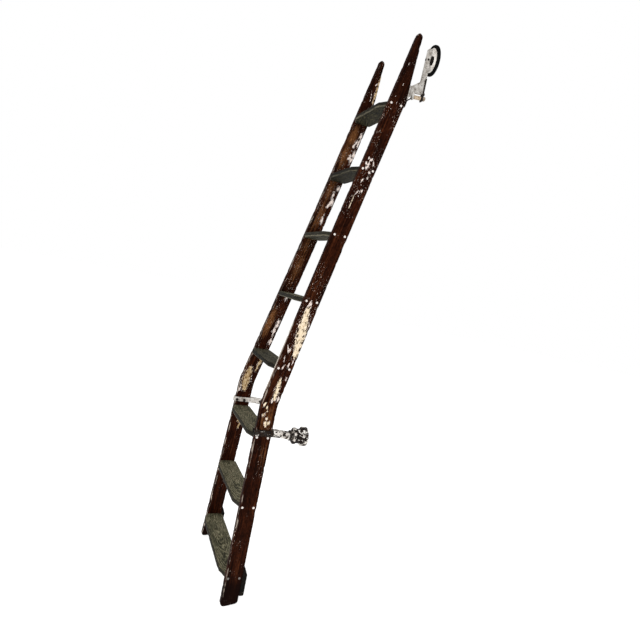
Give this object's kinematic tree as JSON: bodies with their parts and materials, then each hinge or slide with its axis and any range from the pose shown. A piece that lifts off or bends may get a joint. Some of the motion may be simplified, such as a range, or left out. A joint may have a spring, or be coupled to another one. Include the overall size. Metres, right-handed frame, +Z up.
{
  "type": "library ladder",
  "caption": "Tall kinked wooden ladder with flat treads, stiles splayed to the feet, a hooked top wheel on one stile and iron ledge arms low down.",
  "frame": {"origin": "centre of the bounding box at floor level, under the soles", "axes": "+X to the ladder's right stile as seen from the user's side, +Y back to the wall, +Z up, treads level"},
  "size_m": [0.5866, 0.556, 2.5713],
  "materials": {
    "stile_paint": "dark red-brown varnish, worn and flaked",
    "tread_wood": "weathered grey-olive timber",
    "dark_block": "blackened timber",
    "screw_metal": "worn bright",
    "white_painted_iron": "off-white paint flaked over dark iron",
    "worn_iron_roller": "dark iron with paint remains",
    "dark_iron": "dull black",
    "tan_roller": "rubbed tan",
    "tyre_rubber": "matt black"
  },
  "bodies": {
    "ladder": {"guide_nut": "dark_iron", "guide_stud": "dark_iron", "heel_block_left": "dark_block", "heel_block_right": "dark_block", "heel_screws": "screw_metal", "keeper_bolt": "dark_iron", "keeper_nut": "dark_iron", "keeper_plate": "dark_iron", "ledge_axle": "dark_iron", "ledge_block_left": "white_painted_iron", "ledge_block_right": "white_painted_iron", "ledge_bolts_left": "dark_iron", "ledge_bolts_right": "dark_iron", "ledge_nut": "dark_iron", "ledge_nuts_left": "dark_iron", "ledge_nuts_right": "dark_iron", "ledge_rivet_left": "dark_iron", "ledge_rivet_right": "dark_iron", "ledge_strap_left_inner": "white_painted_iron", "ledge_strap_left_outer": "white_painted_iron", "ledge_strap_right_inner": "white_painted_iron", "ledge_strap_right_outer": "white_painted_iron", "ledge_washer": "dark_iron", "stile_left": "stile_paint", "stile_right": "stile_paint", "top_brace": "dark_iron", "top_brace_screw": "dark_iron", "top_bracket": "white_painted_iron", "top_bracket_screws": "dark_iron", "tread_1": "tread_wood", "tread_2": "tread_wood", "tread_3": "tread_wood", "tread_4": "tread_wood", "tread_5": "tread_wood", "tread_6": "tread_wood", "tread_7": "tread_wood", "tread_8": "tread_wood", "tread_screws_left": "screw_metal", "tread_screws_right": "screw_metal", "wheel_axle": "dark_iron", "wheel_axle_pin": "dark_iron", "wheel_nut": "dark_iron", "wheel_washer": "dark_iron"},
    "top_wheel": {"wheel_hub": "white_painted_iron", "wheel_tyre": "tyre_rubber"},
    "guide_roller": {"guide_roller": "tan_roller"},
    "ledge_roller": {"ledge_roller": "worn_iron_roller"}
  },
  "joints": [
    {"name": "top_wheel_spin", "type": "hinge", "parent": "ladder", "child": "top_wheel", "pos_m": [0.17542, 0.25555, 2.48823], "axis": [0.0698, 0.9879, 0.1388], "continuous": true},
    {"name": "guide_roller_spin", "type": "hinge", "parent": "ladder", "child": "guide_roller", "pos_m": [0.1738, 0.22305, 2.316], "axis": [0, 0.9903, 0.1392], "continuous": true},
    {"name": "ledge_roller_spin", "type": "hinge", "parent": "ladder", "child": "ledge_roller", "pos_m": [0.222, -0.08195, 0.744], "axis": [0, 1, 0], "continuous": true}
  ]
}
